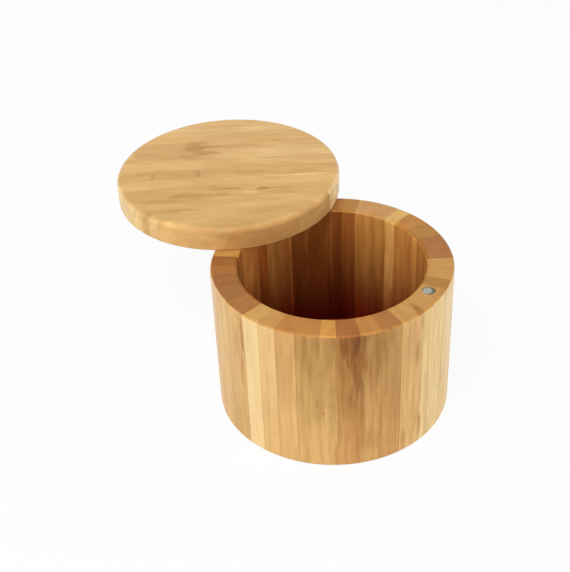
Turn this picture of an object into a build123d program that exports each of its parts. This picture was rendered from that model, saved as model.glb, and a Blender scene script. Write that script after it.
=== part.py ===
"""Round bamboo salt box with a swivel lid.

The body is coopered: bamboo staves of many widths glued edge to edge, then turned, bored and rebated for a
base. The lid is a board of bamboo strips turned to a disc. It swivels on a steel pin in the rim, and two magnets
hold it closed.

Millimetres. Origin at the centre of the underside, +Z up. The pivot pin is at the back, towards +Y.
"""

from build123d import *
from math import cos, radians, sin
import os

# Body ring
body_diameter = 89.0
body_height = 60.0
bore_diameter = 69.0
rim_bevel = 0.6
foot_bevel = 0.8

# Each stave's share of the ring, anticlockwise from the stave that holds the pin in its middle
stave_shares = [
    11.0, 9.0, 8.5, 9.0, 8.5, 13.0, 12.8, 9.0, 8.8, 9.4, 11.0, 7.4,
    10.6, 10.0, 10.0, 11.0, 9.2, 12.6, 7.8, 9.6, 8.8, 11.2, 9.8, 11.6,
    12.0, 7.7, 10.9, 10.3, 8.5, 9.0, 12.5, 12.5, 10.0, 9.5, 8.5, 9.0,
]

# Base disc, glued into a rebate from below and sanded flush with the foot of the ring
base_thickness = 7.0
base_ledge = 2.0
base_strip_count = 5
base_edge_bevel = 0.4
base_glue_gap = 0.05

# Lid, turned a little smaller than the body from a board whose middle joint lay beside the lid's centre
lid_edge_inset = 0.2
lid_thickness = 9.3
lid_strip_count = 12
lid_middle_joint_place = -1.4
lid_grain_turn = -3.0
lid_top_rounding = 2.2
lid_top_rounding_flats = 5
lid_under_bevel = 0.6
lid_opening_angle = 117.0

# Pivot pin and magnets, all on one circle near the middle of the wall
hardware_inset_from_bore = 4.3
pin_bearing = 90.0
pin_diameter = 4.0
pin_depth_in_rim = 18.0
lid_left_above_pin = 3.3
pin_bevel = 0.4
pin_running_gap = 0.05
pin_press_gap = 0.02
pin_hole_spare_depth = 1.0
magnet_bearing_from_pin = 171.0
magnet_diameter = 4.76
magnet_thickness = 3.2
magnet_recess = 0.3
magnet_bevel = 0.2
magnet_glue_gap = 0.05
magnet_glue_depth = 0.2

# Sizes worked out from the ones above
body_radius = body_diameter / 2
bore_radius = bore_diameter / 2
stave_angles = [360 * share / sum(stave_shares) for share in stave_shares]
rebate_radius = bore_radius + base_ledge
base_radius = rebate_radius - base_glue_gap
base_strip_width = 2 * base_radius / base_strip_count
lid_radius = body_radius - lid_edge_inset
lid_strip_width = 2 * lid_radius / lid_strip_count
lid_joint_steps = [index - lid_strip_count / 2 for index in range(1, lid_strip_count)]
lid_joint_places = [step * lid_strip_width + lid_middle_joint_place for step in lid_joint_steps]
lid_strip_edges = [-lid_radius, *lid_joint_places, lid_radius]
hardware_circle_radius = bore_radius + hardware_inset_from_bore
pin_radius = pin_diameter / 2
pin_depth_in_lid = lid_thickness - lid_left_above_pin
pin_hole_depth_in_rim = pin_depth_in_rim + pin_hole_spare_depth
magnet_radius = magnet_diameter / 2
magnet_pocket_depth = magnet_recess + magnet_thickness + magnet_glue_depth


def on_hardware_circle(bearing):
    """Place on the circle that carries the pin and the magnets, at this bearing in degrees from +X."""
    return hardware_circle_radius * Vector(cos(radians(bearing)), sin(radians(bearing)))


def section_plane(centre, bearing):
    """Upright plane through centre: its x points out at a bearing in degrees from +X, and its y points up."""
    outwards = Vector(cos(radians(bearing)), sin(radians(bearing)), 0)
    return Plane(origin=centre, x_dir=outwards, z_dir=outwards.cross(Vector(0, 0, 1)))


# The closed lid lies square over the body. At rest it is swung open about the pin.
pin_place = on_hardware_circle(pin_bearing)
magnet_place = on_hardware_circle(pin_bearing + magnet_bearing_from_pin)
rim_plane = Plane.XY.offset(body_height)
lid_centre = pin_place - pin_place.rotate(Axis.Z, lid_opening_angle) + Vector(0, 0, body_height)
lid_section_plane = section_plane(lid_centre, lid_opening_angle)
lid_plane = Plane(origin=lid_centre, x_dir=lid_section_plane.x_dir, z_dir=(0, 0, 1))
lid_board_plane = lid_plane.rotated((0, 0, lid_grain_turn))


def drill(plane, place, radius, depth):
    """Drill a blind hole into the part being built, from a place on a plane. A negative depth goes below it."""
    with BuildSketch(plane) as mouth:
        with Locations(place):
            Circle(radius)
    extrude(mouth.sketch, amount=depth, mode=Mode.SUBTRACT)


def make_stave(index):
    """One stave: the wall's section, turned from this stave's first joint to the next stave's."""
    joint_bearing = pin_bearing - stave_angles[0] / 2 + sum(stave_angles[:index])
    with BuildPart() as stave:
        with BuildSketch(section_plane((0, 0, 0), joint_bearing)) as section:
            with BuildLine():
                Polyline(
                    (rebate_radius, 0),
                    (body_radius, 0),
                    (body_radius, body_height),
                    (bore_radius, body_height),
                    (bore_radius, base_thickness),
                    (rebate_radius, base_thickness),
                    close=True,
                )
            make_face()
            chamfer(section.vertices().group_by(Axis.Y)[-1], length=rim_bevel)
            chamfer(section.vertices().group_by(Axis.Y)[0].sort_by(Axis.X)[-1], length=foot_bevel)
        revolve(axis=Axis.Z, revolution_arc=stave_angles[index])
        drill(rim_plane, pin_place, pin_radius + pin_running_gap, -pin_hole_depth_in_rim)
        drill(rim_plane, magnet_place, magnet_radius + magnet_glue_gap, -magnet_pocket_depth)
    return stave.part


def make_base_strip(index):
    """One strip of the base: the disc with its lower edge bevelled, kept only over this strip's width."""
    strip_place = (index + 0.5) * base_strip_width - base_radius
    with BuildPart() as strip:
        with BuildSketch(Plane.XY):
            Circle(base_radius)
        extrude(amount=base_thickness)
        chamfer(strip.edges().sort_by(Axis.Z)[0], length=base_edge_bevel)
        with BuildSketch(Plane.XY):
            with Locations((0, strip_place)):
                Rectangle(2 * base_radius, base_strip_width)
        extrude(amount=base_thickness, mode=Mode.INTERSECT)
    return strip.part


def rounded_lid_edge():
    """Points round the lid's top edge, from its side up to its top. The round is worked in narrow flats."""
    turns = [radians(90 * step / lid_top_rounding_flats) for step in range(lid_top_rounding_flats + 1)]
    round_centre = Vector(lid_radius - lid_top_rounding, lid_thickness - lid_top_rounding)
    return [round_centre + lid_top_rounding * Vector(cos(turn), sin(turn)) for turn in turns]


def make_lid_strip(index):
    """One strip of the lid: the turned disc, kept only between this strip's edges, with its holes."""
    near_edge, far_edge = lid_strip_edges[index : index + 2]
    with BuildPart() as strip:
        with BuildSketch(lid_section_plane) as section:
            with BuildLine():
                Polyline((0, 0), (lid_radius, 0), *rounded_lid_edge(), (0, lid_thickness), close=True)
            make_face()
            chamfer(section.vertices().group_by(Axis.Y)[0].sort_by(Axis.X)[-1], length=lid_under_bevel)
        revolve(axis=Axis(lid_centre, (0, 0, 1)))
        with BuildSketch(lid_board_plane):
            with Locations((0, (near_edge + far_edge) / 2)):
                Rectangle(2 * lid_radius, far_edge - near_edge)
        extrude(amount=lid_thickness, mode=Mode.INTERSECT)
        drill(lid_plane, pin_place, pin_radius + pin_press_gap, pin_depth_in_lid)
        drill(lid_plane, magnet_place, magnet_radius + magnet_glue_gap, magnet_pocket_depth)
    return strip.part


def make_rod(plane, place, radius, length, bevel):
    """Round metal rod that stands on a plane, with both ends bevelled."""
    with BuildPart() as rod:
        with BuildSketch(plane):
            with Locations(place):
                Circle(radius)
        extrude(amount=length)
        chamfer(rod.edges().filter_by(GeomType.CIRCLE), length=bevel)
    return rod.part


def write(piece, name):
    """Label a finished piece and write its STEP file."""
    piece.label = name
    export_step(piece, f"parts/{name}.step")


os.makedirs("parts", exist_ok=True)

for index in range(len(stave_shares)):
    write(make_stave(index), f"stave_{index + 1:02d}")

for index in range(base_strip_count):
    write(make_base_strip(index), f"base_strip_{index + 1:02d}")

for index in range(lid_strip_count):
    write(make_lid_strip(index), f"lid_strip_{index + 1:02d}")

# The pin stands in the rim and reaches up into the lid.
pin_foot_plane = rim_plane.offset(-pin_depth_in_rim)
pin_length = pin_depth_in_rim + pin_depth_in_lid
write(make_rod(pin_foot_plane, pin_place, pin_radius, pin_length, pin_bevel), "pivot_pin")

# Both magnets lie a little below the face they are set in, and meet face to face when the lid is closed.
rim_magnet_plane = rim_plane.offset(-magnet_recess - magnet_thickness)
lid_magnet_plane = lid_plane.offset(magnet_recess)
write(make_rod(rim_magnet_plane, magnet_place, magnet_radius, magnet_thickness, magnet_bevel), "rim_magnet")
write(make_rod(lid_magnet_plane, magnet_place, magnet_radius, magnet_thickness, magnet_bevel), "lid_magnet")
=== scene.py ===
# %% [markdown]
# # A round bamboo salt box with a swivel lid
#
# The box is a ring of bamboo staves, glued edge to edge and turned round on a lathe. A base of flat strips
# closes it below, and a lid of flat strips swings sideways on one steel pin. The measured model is already
# there, so this script loads it first and then dresses every part of it: finer meshes, bamboo and metal
# finishes, light, camera.
#
# Loading comes first because every later piece stands in for a part of that model, which it hides.

# %% Load the measured model
from math import cos, pi, radians, sin

import bmesh
import bpy
from mathutils import Matrix, Vector


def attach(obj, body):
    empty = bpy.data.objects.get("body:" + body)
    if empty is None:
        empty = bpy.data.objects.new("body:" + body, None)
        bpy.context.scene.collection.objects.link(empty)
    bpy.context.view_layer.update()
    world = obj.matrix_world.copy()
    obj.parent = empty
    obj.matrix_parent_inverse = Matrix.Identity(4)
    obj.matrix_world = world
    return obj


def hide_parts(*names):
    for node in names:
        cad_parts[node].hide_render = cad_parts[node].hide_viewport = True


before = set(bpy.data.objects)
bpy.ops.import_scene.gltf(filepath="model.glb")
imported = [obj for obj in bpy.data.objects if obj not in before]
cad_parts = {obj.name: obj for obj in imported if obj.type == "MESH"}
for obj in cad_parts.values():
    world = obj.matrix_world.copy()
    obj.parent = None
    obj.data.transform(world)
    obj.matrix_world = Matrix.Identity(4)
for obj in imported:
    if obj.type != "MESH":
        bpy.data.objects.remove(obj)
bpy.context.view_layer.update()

MM = 0.001


print("parts in the measured model:", len(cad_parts))

# %% [markdown]
# ## The view
#
# A product picture of a small box is taken from above with a long lens, so that the round rim shows as a calm
# ellipse. A camera could be aimed with a constraint. Here its three directions are worked out instead: back
# towards the camera, right and up. That gives the same aim on every run, and lets the picture lean a little
# to one side.
#
# The lens is in millimetres, for a picture 36 mm wide as on an old film camera. The view transform Standard
# shows a colour as it is written, so the tones of the wood can be judged.

# %% Place the camera
def add_object(name, data):
    """Put an object with this data into the scene."""
    new_object = bpy.data.objects.new(name, data)
    bpy.context.scene.collection.objects.link(new_object)
    return new_object


view_bearing = radians(-66.6)
view_height = radians(35.79)
view_lean = -0.0455
view_distance = 415.8 * MM
view_target = Vector((-6.92, 15.99, 49.71)) * MM
view_lens = 70.69
nearest_seen, furthest_seen = 0.01, 20

back = Vector((sin(view_bearing) * cos(view_height), -cos(view_bearing) * cos(view_height), sin(view_height)))
level_right = Vector((0, 0, 1)).cross(back).normalized()
level_up = back.cross(level_right)
right = cos(view_lean) * level_right + sin(view_lean) * level_up
up = back.cross(right)
aim = Matrix((right, up, back)).transposed().to_4x4()

camera = add_object("camera", bpy.data.cameras.new("camera"))
camera.matrix_world = Matrix.Translation(view_target + view_distance * back) @ aim
camera.data.lens = view_lens
camera.data.clip_start, camera.data.clip_end = nearest_seen, furthest_seen
bpy.context.scene.camera = camera
bpy.context.scene.view_settings.view_transform = "Standard"
print("the camera stands", round(view_distance / MM), "mm from the box")

# %% [markdown]
# ## Small helpers for shader nodes
#
# A finish in Blender is a tree of shader nodes. They could be joined by hand in the shader editor. In a
# script, one helper that adds a node and fills its inputs keeps every finish short enough to read.

# %% Helpers that add shader nodes
def add_node(tree, kind, inputs=None, **settings):
    """Add one shader node. An input goes by its name or number, and is a value or a socket to link from."""
    new_node = tree.nodes.new("ShaderNode" + kind)
    for name, setting in settings.items():
        setattr(new_node, name, setting)
    for key, value in (inputs or {}).items():
        if isinstance(value, bpy.types.NodeSocket):
            tree.links.new(value, new_node.inputs[key])
        else:
            new_node.inputs[key].default_value = value
    return new_node


def calculate(tree, operation, *values):
    """One step of arithmetic on values or sockets."""
    return add_node(tree, "Math", dict(enumerate(values)), operation=operation).outputs[0]


def calculate_vector(tree, operation, *values):
    """One step of arithmetic on vectors or their sockets."""
    return add_node(tree, "VectorMath", dict(enumerate(values)), operation=operation).outputs[0]


def fade(tree, value, start, end, low=0.0, high=1.0):
    """Go smoothly from low to high while a value goes from start to end."""
    limits = {"Value": value, "From Min": start, "From Max": end, "To Min": low, "To Max": high}
    return add_node(tree, "MapRange", limits, interpolation_type="SMOOTHSTEP").outputs["Result"]


print("helpers ready: add_node, calculate, calculate_vector, fade")

# %% [markdown]
# Every finish also needs colours to mix, a new material to start from, and noise. Noise is Blender's stand-in
# for chance: soft blotches that come out the same on every run. Stretched, it turns into fibres. Its values
# lie mostly between 0.3 and 0.7, so a fade between those two brings out its whole range.

# %% Helpers for colours and noise
noise_low, noise_high = 0.3, 0.7


def mix_colours(tree, share, first, second, blend_type="MIX"):
    """Mix two colours. A share of 0 gives the first, and 1 the second."""
    new_node = add_node(tree, "Mix", {0: share, 6: first, 7: second}, data_type="RGBA", blend_type=blend_type)
    return new_node.outputs[2]


def stretched_noise(tree, place, stretch, detail=1.0, roughness=0.5):
    """Noise with its own fineness in each direction, in changes per millimetre."""
    squeezed = calculate_vector(tree, "MULTIPLY", place, stretch)
    inputs = {"Vector": squeezed, "Scale": 1.0, "Detail": detail, "Roughness": roughness}
    return add_node(tree, "TexNoise", inputs).outputs[0]


def swinging_noise(tree, place, stretch, swing):
    """The same noise, but swinging from minus to plus this much."""
    return calculate(tree, "MULTIPLY_ADD", stretched_noise(tree, place, stretch), 2 * swing, -swing)


def start_material(name):
    """A new material, its tree and its main shader."""
    material = bpy.data.materials.new(name)
    material.use_nodes = True
    return material, material.node_tree, material.node_tree.nodes["Principled BSDF"]


print("helpers ready: mix_colours, stretched_noise, swinging_noise, start_material")

# %% [markdown]
# ## Light, background and floor
#
# The box is lit as on a product table: a bright room all round, and two large soft lamps. The room's light
# comes from the world. Light Path lets the camera, mirrors and glass see plain white where other rays see the
# dimmer room, so a white background doesn't have to come from more light on the wood.
#
# The walls of the room give more light than its ceiling. The outside of the box looks at the walls and comes
# out bright, while the bowl looks only at the ceiling and stays deep.

# %% Light the room
def plainly_seen(tree):
    """1 for rays from the camera and for those that a mirror or glass passes on, and 0 for all others."""
    rays = add_node(tree, "LightPath").outputs
    seen = calculate(tree, "MAXIMUM", rays["Is Camera Ray"], rays["Is Glossy Ray"])
    return calculate(tree, "MAXIMUM", seen, rays["Is Transmission Ray"])


wall_light, ceiling_light, ceiling_starts = 0.8, 0.3, 0.9
white = (1, 1, 1, 1)

world = bpy.data.worlds.new("room")
bpy.context.scene.world = world
world.use_nodes = True
tree, room = world.node_tree, world.node_tree.nodes["Background"]
direction = add_node(tree, "TexCoord").outputs["Generated"]
upwards = add_node(tree, "SeparateXYZ", {0: direction}).outputs["Z"]
light = fade(tree, upwards, 0.0, ceiling_starts, wall_light, ceiling_light)
tree.links.new(calculate(tree, "MAXIMUM", plainly_seen(tree), light), room.inputs["Strength"])
room.inputs["Color"].default_value = white
print("light from the walls of the room:", wall_light, "and from its ceiling:", ceiling_light)

# %% [markdown]
# Small lamps would throw hard shadows, and sun lamps would light the whole floor. Square area lamps are like
# the soft boxes over a product table. The main one hangs high in front and a little to the left, and gives
# the lid its sheen. A weaker one stands lower on the right and keeps that side of the wall from going dark.

# %% Hang two soft lamps
def hang_lamp(name, place, size, watts):
    """A square soft lamp that shines at the middle of the box. Place and size are in metres."""
    lamp = add_object(name, bpy.data.lights.new(name, "AREA"))
    lamp.data.size = size
    lamp.data.energy = watts
    lamp.location = place
    lamp.rotation_euler = (view_target - Vector(place)).to_track_quat("-Z", "Y").to_euler()
    return lamp


main_lamp = hang_lamp("main_lamp", place=(-0.55, 0.10, 0.95), size=0.5, watts=6.6)
fill_lamp = hang_lamp("fill_lamp", place=(-0.35, -0.9, 0.45), size=0.7, watts=2.0)
print("lamps:", main_lamp.name, fill_lamp.name)

# %% [markdown]
# The floor is a plain pale sheet. Left alone it would come out a little grey, so most of what the camera sees
# of it is plain white, mixed in by a shader, and the rest is real floor that still takes the soft shadow of
# the box.

# %% Lay the floor
floor_half = 3.0
shadow_share = 0.08
floor_grey, floor_roughness = 0.9, 0.9

floor_mesh = bpy.data.meshes.new("floor")
corners = [(x * floor_half, y * floor_half, 0) for x, y in ((-1, -1), (1, -1), (1, 1), (-1, 1))]
floor_mesh.from_pydata(corners, [], [(0, 1, 2, 3)])
floor = add_object("floor", floor_mesh)

material, tree, sheet = start_material("pale_floor")
sheet.inputs["Base Color"].default_value = (floor_grey, floor_grey, floor_grey, 1)
sheet.inputs["Roughness"].default_value = floor_roughness
glow = add_node(tree, "Emission", {"Color": white, "Strength": 1.0})
share = calculate(tree, "MULTIPLY", plainly_seen(tree), 1 - shadow_share)
blend = add_node(tree, "MixShader", {0: share, 1: sheet.outputs[0], 2: glow.outputs[0]})
tree.links.new(blend.outputs[0], tree.nodes["Material Output"].inputs["Surface"])
floor_mesh.materials.append(material)
print("floor", 2 * floor_half, "m square")

# %% [markdown]
# ## How a turned piece gets its mesh
#
# Everything on this box was turned: the ring, the base, the lid, even the pin and the magnets. A cylinder
# primitive would have hard edges, so each piece is made as a turner makes it. Its section is drawn once, with
# the edges rounded off, and then turned about the middle. Points close beside each rounding hold the flat
# faces flat, so that smooth shading bends the light only at the edge.

# %% Draw a section with rounded corners
def rounded_section(corners, flats=6, hold=0.15):
    """Points of a section, in millimetres. A corner is its distance from the axis, its height and its
    rounding. Flats is how many flats make a rounding, and hold how far beside it the holding points stand."""
    points = []
    for number, (across, height, rounding) in enumerate(corners):
        corner = Vector((across, height))
        if not rounding:
            points.append(corner)
            continue
        to_before = (Vector(corners[number - 1][:2]) - corner).normalized()
        to_after = (Vector(corners[(number + 1) % len(corners)][:2]) - corner).normalized()
        centre = corner + rounding * (to_before + to_after)
        points.append(corner + (rounding + hold) * to_before)
        for flat in range(flats + 1):
            turn = 0.5 * pi * flat / flats
            points.append(centre - rounding * (cos(turn) * to_after + sin(turn) * to_before))
        points.append(corner + (rounding + hold) * to_after)
    return points


def disc_section(radius, thickness, under_rounding, top_rounding, **settings):
    """Section of a disc or a rod. It leaves out the two points on the axis, where the caps will close it."""
    corners = [(0, 0, 0), (radius, 0, under_rounding), (radius, thickness, top_rounding), (0, thickness, 0)]
    return rounded_section(corners, **settings)[1:-1]


print("a disc with both edges rounded has", len(disc_section(10, 5, 1, 1)), "points in its section")

# %% [markdown]
# Blender's Screw modifier could turn the section. Placing the rings of points in bmesh, Blender's mesh
# toolbox for scripts, takes few lines too, and closes the ends with caps at once. That matters for the
# staves, which are only part of a turn and show their ends as glued sides. Numbers closer together than a
# hair count as equal.

# %% Turn a section into a mesh
hair = 1e-6


def turned(section, first_bearing, last_bearing, steps):
    """Turn a section about the Z axis, in metres. A part turn closes the section's loop and caps both ends.
    A full turn takes an open section, from the middle of the underside round to the middle of the top, and
    caps those two."""
    full_turn = abs(last_bearing - first_bearing - 2 * pi) < hair
    work = bmesh.new()
    rings = []
    for step in range(steps if full_turn else steps + 1):
        bearing = first_bearing + (last_bearing - first_bearing) * step / steps
        places = [(x * cos(bearing) * MM, x * sin(bearing) * MM, z * MM) for x, z in section]
        rings.append([work.verts.new(place) for place in places])
    pairs = list(zip(rings, rings[1:] + rings[:1])) if full_turn else list(zip(rings, rings[1:]))
    last_point = len(section) - 1 if full_turn else len(section)
    for ring, next_ring in pairs:
        for point in range(last_point):
            after = (point + 1) % len(section)
            work.faces.new((ring[point], next_ring[point], next_ring[after], ring[after])).smooth = True
    caps = [[ring[0] for ring in rings], [ring[-1] for ring in rings]] if full_turn else [rings[0], rings[-1]]
    for cap in caps:
        work.faces.new(cap)
    bmesh.ops.recalc_face_normals(work, faces=work.faces)
    return work


print("ready to turn sections")

# %% [markdown]
# A mesh becomes a piece of the box when it is hung on the body that it rides on, and the measured part that
# it stands for is hidden. Smooth shading alone would blur the sawn sides, so edges where the surface turns
# sharply are marked as sharp.

# %% Make a mesh a piece of the box
sharp_angle = radians(30)


def add_piece(name, work, body, nodes):
    """Make a finished piece of a mesh, hang it on the body it rides on, and hide the measured parts it stands
    for.
    """
    for edge in work.edges:
        edge.smooth = edge.calc_face_angle(0) < sharp_angle
    mesh = bpy.data.meshes.new(name)
    work.to_mesh(mesh)
    work.free()
    piece = add_object(name, mesh)
    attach(piece, body)
    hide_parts(*nodes)
    return piece


print("ready to add pieces")

# %% [markdown]
# ## The ring of staves
#
# A cooper planes staves of whatever width the bamboo gives, bevels their sides and glues them round into a
# ring. The ring is then turned outside, bored inside and rebated below for the base. Each stave could be cut
# out of one whole ring. It is quicker to turn the wall's section only through the stave's own angle, which
# gives its two glued sides as well.

# %% Turn the staves
body_radius, body_height, bore_radius = 44.5, 60.0, 34.5
base_thickness, rebate_radius = 7.0, 36.5
rim_rounding, foot_rounding = 1.1, 1.0
pin_bearing = 90.0
stave_shares = [
    11.0, 9.0, 8.5, 9.0, 8.5, 13.0, 12.8, 9.0, 8.8, 9.4, 11.0, 7.4,
    10.6, 10.0, 10.0, 11.0, 9.2, 12.6, 7.8, 9.6, 8.8, 11.2, 9.8, 11.6,
    12.0, 7.7, 10.9, 10.3, 8.5, 9.0, 12.5, 12.5, 10.0, 9.5, 8.5, 9.0,
]
stave_steps = 10

wall_section = rounded_section([
    (rebate_radius, 0, 0),
    (body_radius, 0, foot_rounding),
    (body_radius, body_height, rim_rounding),
    (bore_radius, body_height, rim_rounding),
    (bore_radius, base_thickness, 0),
    (rebate_radius, base_thickness, 0),
])
stave_angles = [360 * share / sum(stave_shares) for share in stave_shares]
first_side = pin_bearing - stave_angles[0] / 2
stave_middles = [first_side + sum(stave_angles[:k]) + stave_angles[k] / 2 for k in range(len(stave_angles))]
staves = []
for number, (middle, angle) in enumerate(zip(stave_middles, stave_angles), 1):
    mesh_work = turned(wall_section, radians(middle - angle / 2), radians(middle + angle / 2), stave_steps)
    node = f"stave_{number:02d}"
    staves.append(add_piece(f"bamboo_stave_{number:02d}", mesh_work, "box", [node]))
print(len(staves), "staves,", round(min(stave_angles), 1), "to", round(max(stave_angles), 1), "degrees wide")

# %% [markdown]
# ## The base and the lid
#
# Both are boards of parallel bamboo strips. A maker glues the board first and turns the disc from it
# afterwards, so every joint runs straight across the disc. The same order works here: turn one whole disc,
# then saw it along the joints with bisecting planes, and fill each sawn side.

# %% Saw a disc into strips
def sawn_strips(section, edges, placing, steps=240):
    """Meshes of a turned disc's strips between these edges, in millimetres across the board, put in place."""
    strips = []
    for near, far in zip(edges, edges[1:]):
        work = turned(section, 0, 2 * pi, steps)
        for edge_place, side in ((near, -1), (far, 1)):
            if abs(abs(edge_place) - max(edges)) < hair:
                continue
            everything = work.verts[:] + work.edges[:] + work.faces[:]
            cut = bmesh.ops.bisect_plane(work, geom=everything, plane_co=(0, edge_place * MM, 0),
                                         plane_no=(0, side, 0), clear_outer=True)
            cut_edges = [part for part in cut["geom_cut"] if isinstance(part, bmesh.types.BMEdge)]
            bmesh.ops.edgeloop_fill(work, edges=cut_edges)
        bmesh.ops.recalc_face_normals(work, faces=work.faces)
        bmesh.ops.transform(work, matrix=placing, verts=work.verts)
        strips.append(work)
    return strips


print("ready to saw discs")

# %% [markdown]
# The base is hidden at its edge by the rebate, and shows only as the floor of the bowl and from below. Five
# broad strips are enough. It is a hair smaller than the rebate, as it has to be to go in with its glue.

# %% Turn and saw the base
base_play = 0.05
base_radius = rebate_radius - base_play
base_under_rounding = 0.4
base_strip_count = 5

base_section = disc_section(base_radius, base_thickness, base_under_rounding, 0)
base_edges = [base_radius * (2 * k / base_strip_count - 1) for k in range(base_strip_count + 1)]
base_strips = []
for number, mesh_work in enumerate(sawn_strips(base_section, base_edges, Matrix.Identity(4)), 1):
    node = f"base_strip_{number:02d}"
    base_strips.append(add_piece(f"bamboo_base_strip_{number}", mesh_work, "box", [node]))
print(len(base_strips), "base strips,", round(base_edges[1] - base_edges[0], 2), "mm wide")

# %% [markdown]
# The lid's board is not quite in line with the pin: its grain is turned by three degrees, and its middle
# joint misses the centre. Such small slips are what a handmade lid looks like. At rest the lid is swung open
# about the pin.
#
# Its radius is a few thousandths of a millimetre under the measured one. The measured model's flats lie just
# inside the true circle, and this finer lid would otherwise stand out past them.

# %% Turn and saw the lid
lid_radius, lid_thickness = 44.294, 9.3
lid_top_rounding, lid_under_rounding, lid_rounding_flats = 2.2, 0.6, 9
lid_strip_count, lid_middle_joint, lid_grain_turn = 12, -1.4, -3.0
hardware_circle = 38.8
lid_opening = 117.0

rim_level = Vector((0, 0, body_height))
pin_place = Matrix.Rotation(radians(pin_bearing), 3, "Z") @ Vector((hardware_circle, 0, 0))
lid_turn = Matrix.Rotation(radians(lid_opening), 3, "Z")
lid_centre = pin_place - lid_turn @ pin_place + rim_level
lid_board_turn = radians(lid_opening + lid_grain_turn)
lid_placing = Matrix.Translation(lid_centre * MM) @ Matrix.Rotation(lid_board_turn, 4, "Z")

lid_section = disc_section(lid_radius, lid_thickness, lid_under_rounding, lid_top_rounding,
                           flats=lid_rounding_flats)
lid_strip_width = 2 * lid_radius / lid_strip_count
lid_joints = [
    (k - lid_strip_count / 2) * lid_strip_width + lid_middle_joint
    for k in range(1, lid_strip_count)
]
lid_edges = [-lid_radius, *lid_joints, lid_radius]
lid_strips = []
for number, mesh_work in enumerate(sawn_strips(lid_section, lid_edges, lid_placing), 1):
    node = f"lid_strip_{number:02d}"
    lid_strips.append(add_piece(f"bamboo_lid_strip_{number:02d}", mesh_work, "lid", [node]))
print(len(lid_strips), "lid strips,", round(lid_strip_width, 2), "mm wide")

# %% [markdown]
# ## Pin, magnets and their holes
#
# One steel pin holds the lid, and a pair of small nickel-plated magnets keeps it shut. They are short rods,
# turned like everything else, with their edges just broken. One magnet sits in the rim. The other is let into
# the underside of the lid, where it comes to lie over the first when the lid is closed.

# %% Turn the pin and the magnets
round_steps, rod_flats, rod_hold = 96, 5, 0.05


def rod(radius, length, rounding, centre):
    """Mesh of a round rod that stands on its centre point, all in millimetres."""
    section = disc_section(radius, length, rounding, rounding, flats=rod_flats, hold=rod_hold)
    work = turned(section, 0, 2 * pi, round_steps)
    bmesh.ops.translate(work, vec=centre * MM, verts=work.verts)
    return work


pin_radius, pin_depth_in_rim, pin_depth_in_lid, pin_rounding = 2.0, 18.0, 6.0, 0.4
magnet_radius, magnet_thickness, magnet_recess, magnet_rounding = 2.38, 3.2, 0.3, 0.2
magnet_bearing = 171.0
magnet_place = Matrix.Rotation(radians(magnet_bearing), 3, "Z") @ pin_place
lid_magnet_place = lid_centre + lid_turn @ magnet_place

pin_foot = pin_place + rim_level - Vector((0, 0, pin_depth_in_rim))
rim_magnet_foot = magnet_place + rim_level - Vector((0, 0, magnet_recess + magnet_thickness))
lid_magnet_foot = lid_magnet_place + Vector((0, 0, magnet_recess))

pin_work = rod(pin_radius, pin_depth_in_rim + pin_depth_in_lid, pin_rounding, pin_foot)
pin = add_piece("steel_pin", pin_work, "lid", ["pivot_pin"])
rim_magnet_work = rod(magnet_radius, magnet_thickness, magnet_rounding, rim_magnet_foot)
rim_magnet = add_piece("nickel_rim_magnet", rim_magnet_work, "box", ["rim_magnet"])
lid_magnet_work = rod(magnet_radius, magnet_thickness, magnet_rounding, lid_magnet_foot)
lid_magnet = add_piece("nickel_lid_magnet", lid_magnet_work, "lid", ["lid_magnet"])
print("pin", 2 * pin_radius, "mm and magnets", 2 * magnet_radius, "mm across")

# %% [markdown]
# The holes are drilled, so a Boolean modifier takes a turned drill shape out of each strip or stave that it
# meets. Its result is kept as the piece's mesh, so no modifier has to run later, and the drill shape is
# thrown away.

# %% Make a drill
def drill(pieces, radius, low, high, centre):
    """Take a round hole out of pieces, from one height to another, all in millimetres."""
    work = turned([Vector((radius, low)), Vector((radius, high))], 0, 2 * pi, round_steps)
    bmesh.ops.translate(work, vec=(centre.x * MM, centre.y * MM, 0), verts=work.verts)
    bit_mesh = bpy.data.meshes.new("drill_bit")
    work.to_mesh(bit_mesh)
    work.free()
    bit = add_object("drill_bit", bit_mesh)
    for piece in pieces:
        cut = piece.modifiers.new("drilled", "BOOLEAN")
        cut.object, cut.operation, cut.solver = bit, "DIFFERENCE", "EXACT"
        view = bpy.context.evaluated_depsgraph_get()
        piece.data = bpy.data.meshes.new_from_object(piece.evaluated_get(view))
        piece.modifiers.clear()
        piece.data.set_sharp_from_angle(angle=sharp_angle)
        print(piece.name, "drilled, now", len(piece.data.polygons), "faces")
    bpy.data.objects.remove(bit)
    bpy.data.meshes.remove(bit_mesh)


print("drill ready")

# %% [markdown]
# The pin's hole lies in the middle of the first stave and in the last strip of the lid. The rim magnet's
# pocket is in the eighteenth stave, and the lid magnet's falls on the joint between two strips. All are
# blind, so none shows on the outside. The pin turns freely in the rim and sits tight in the lid.

# %% Drill the holes
pin_stave, magnet_stave = staves[0], staves[17]
pin_strip, magnet_strips = lid_strips[11], lid_strips[:2]
running_gap, tight_gap, pocket_gap = 0.05, 0.02, 0.05
below_pin, below_magnet = 1.0, 0.2
over = 1.0

pin_hole_low = body_height - pin_depth_in_rim - below_pin
pocket_depth = magnet_recess + magnet_thickness + below_magnet
pocket_radius = magnet_radius + pocket_gap
drill([pin_stave], pin_radius + running_gap, pin_hole_low, body_height + over, pin_place)
drill([magnet_stave], pocket_radius, body_height - pocket_depth, body_height + over, magnet_place)
drill([pin_strip], pin_radius + tight_gap, body_height - over, body_height + pin_depth_in_lid, pin_place)
drill(magnet_strips, pocket_radius, body_height - over, body_height + pocket_depth, lid_magnet_place)
print("the pin's hole in the rim is", body_height - pin_hole_low, "mm deep")

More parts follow.
